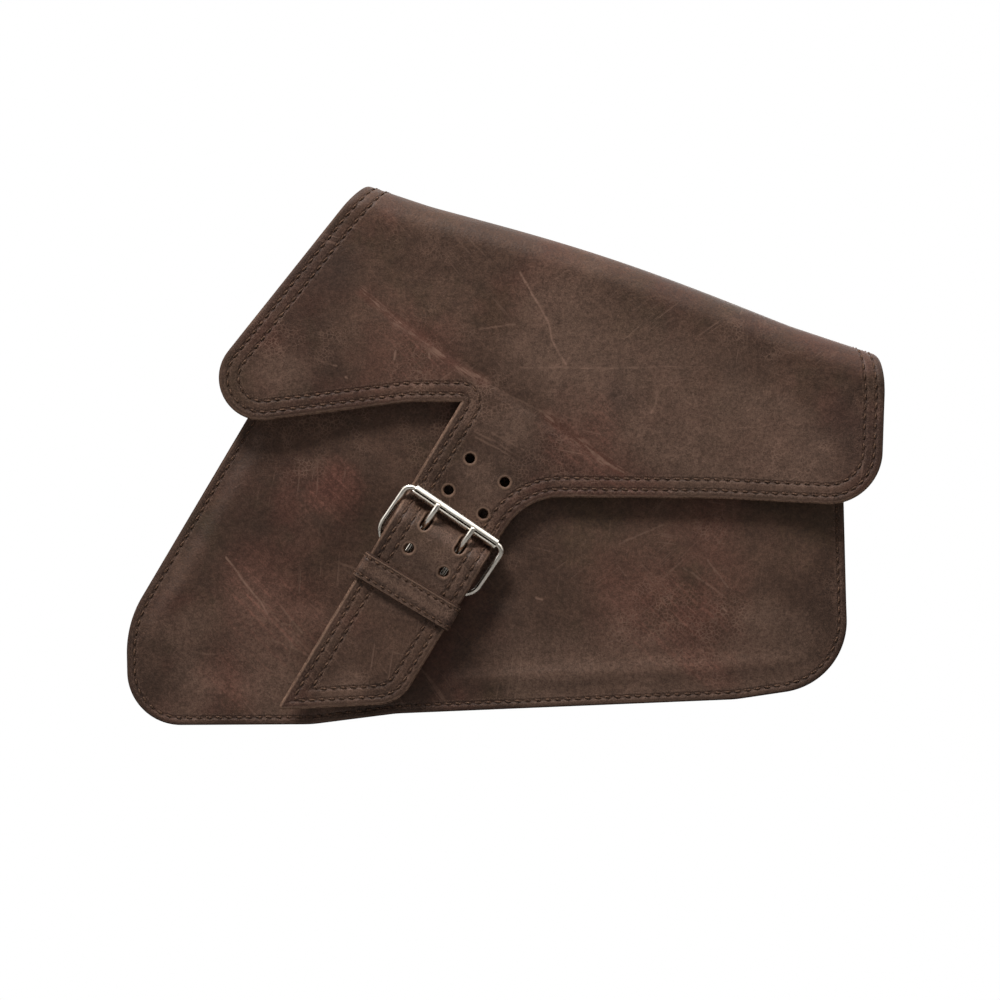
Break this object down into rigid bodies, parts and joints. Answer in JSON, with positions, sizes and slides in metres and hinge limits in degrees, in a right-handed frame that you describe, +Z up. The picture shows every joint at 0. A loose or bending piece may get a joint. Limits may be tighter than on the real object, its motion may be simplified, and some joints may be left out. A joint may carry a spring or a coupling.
{
  "type": "motorcycle saddlebag",
  "caption": "Leather motorcycle saddlebag with a sloping top and a hinged flap that narrows into a wide strap, closed by a roller buckle with paired prongs.",
  "frame": {"origin": "middle of the mounting pad's outer face, on the back of the bag", "axes": "+X to the right as seen from the front, +Y out of the back towards the motorcycle, +Z up"},
  "size_m": [0.3817, 0.1184, 0.2698],
  "materials": {
    "leather": "waxed, distressed",
    "lining": "matt",
    "board": "matt",
    "nickel": "polished"
  },
  "bodies": {
    "bag": {"front_panel": "leather", "gusset": "leather", "back_panel": "leather", "back_stiffener": "board", "mount_pad": "leather", "snap_stud": "nickel", "mount_strap_left": "leather", "mount_chape_left": "leather", "mount_keeper_left": "leather", "mount_rivet_left": "nickel", "mount_strap_right": "leather", "mount_chape_right": "leather", "mount_keeper_right": "leather", "mount_rivet_right": "nickel"},
    "flap": {"flap_and_strap": "leather", "flap_lining": "lining", "buckle_chape": "leather", "snap_socket": "nickel"},
    "keeper": {"strap_keeper": "leather"},
    "buckle": {"buckle_frame": "nickel"},
    "roller": {"buckle_roller": "nickel"},
    "prong_left": {"buckle_prong_left": "nickel"},
    "prong_right": {"buckle_prong_right": "nickel"},
    "mount_buckle_left": {"mount_buckle_left": "nickel"},
    "mount_buckle_right": {"mount_buckle_right": "nickel"},
    "mount_prong_left": {"mount_prong_left": "nickel"},
    "mount_prong_right": {"mount_prong_right": "nickel"}
  },
  "joints": [
    {"name": "flap_hinge", "type": "hinge", "parent": "bag", "child": "flap", "pos_m": [0.04009, -0.0048, 0.12051], "axis": [-0.9489, 0, 0.3156], "range_deg": [0, 115]},
    {"name": "keeper_slide", "type": "slide", "parent": "flap", "child": "keeper", "axis": [-0.5135, 0, -0.8581], "range_m": [0, 0.015]},
    {"name": "buckle_tilt", "type": "hinge", "parent": "flap", "child": "buckle", "pos_m": [-0.0394, -0.0961, -0.03395], "axis": [0.8271, 0, -0.5621], "range_deg": [0, 3]},
    {"name": "roller_spin", "type": "hinge", "parent": "buckle", "child": "roller", "pos_m": [-0.02198, -0.1013, -0.00831], "axis": [0.8271, 0, -0.5621], "continuous": true},
    {"name": "prong_left_lift", "type": "hinge", "parent": "buckle", "child": "prong_left", "pos_m": [-0.04809, -0.0961, -0.02805], "axis": [0.8271, 0, -0.5621], "range_deg": [0, 3]},
    {"name": "prong_right_lift", "type": "hinge", "parent": "buckle", "child": "prong_right", "pos_m": [-0.03072, -0.0961, -0.03985], "axis": [0.8271, 0, -0.5621], "range_deg": [0, 3]},
    {"name": "mount_buckle_left_tilt", "type": "hinge", "parent": "bag", "child": "mount_buckle_left", "pos_m": [-0.09, 0.0023, -0.022], "axis": [-1, 0, 0], "range_deg": [0, 3]},
    {"name": "mount_prong_left_lift", "type": "hinge", "parent": "mount_buckle_left", "child": "mount_prong_left", "pos_m": [-0.09, 0.0023, -0.022], "axis": [-1, 0, 0], "range_deg": [0, 3]},
    {"name": "mount_buckle_right_tilt", "type": "hinge", "parent": "bag", "child": "mount_buckle_right", "pos_m": [0.09, 0.0023, -0.022], "axis": [-1, 0, 0], "range_deg": [0, 3]},
    {"name": "mount_prong_right_lift", "type": "hinge", "parent": "mount_buckle_right", "child": "mount_prong_right", "pos_m": [0.09, 0.0023, -0.022], "axis": [-1, 0, 0], "range_deg": [0, 3]}
  ]
}
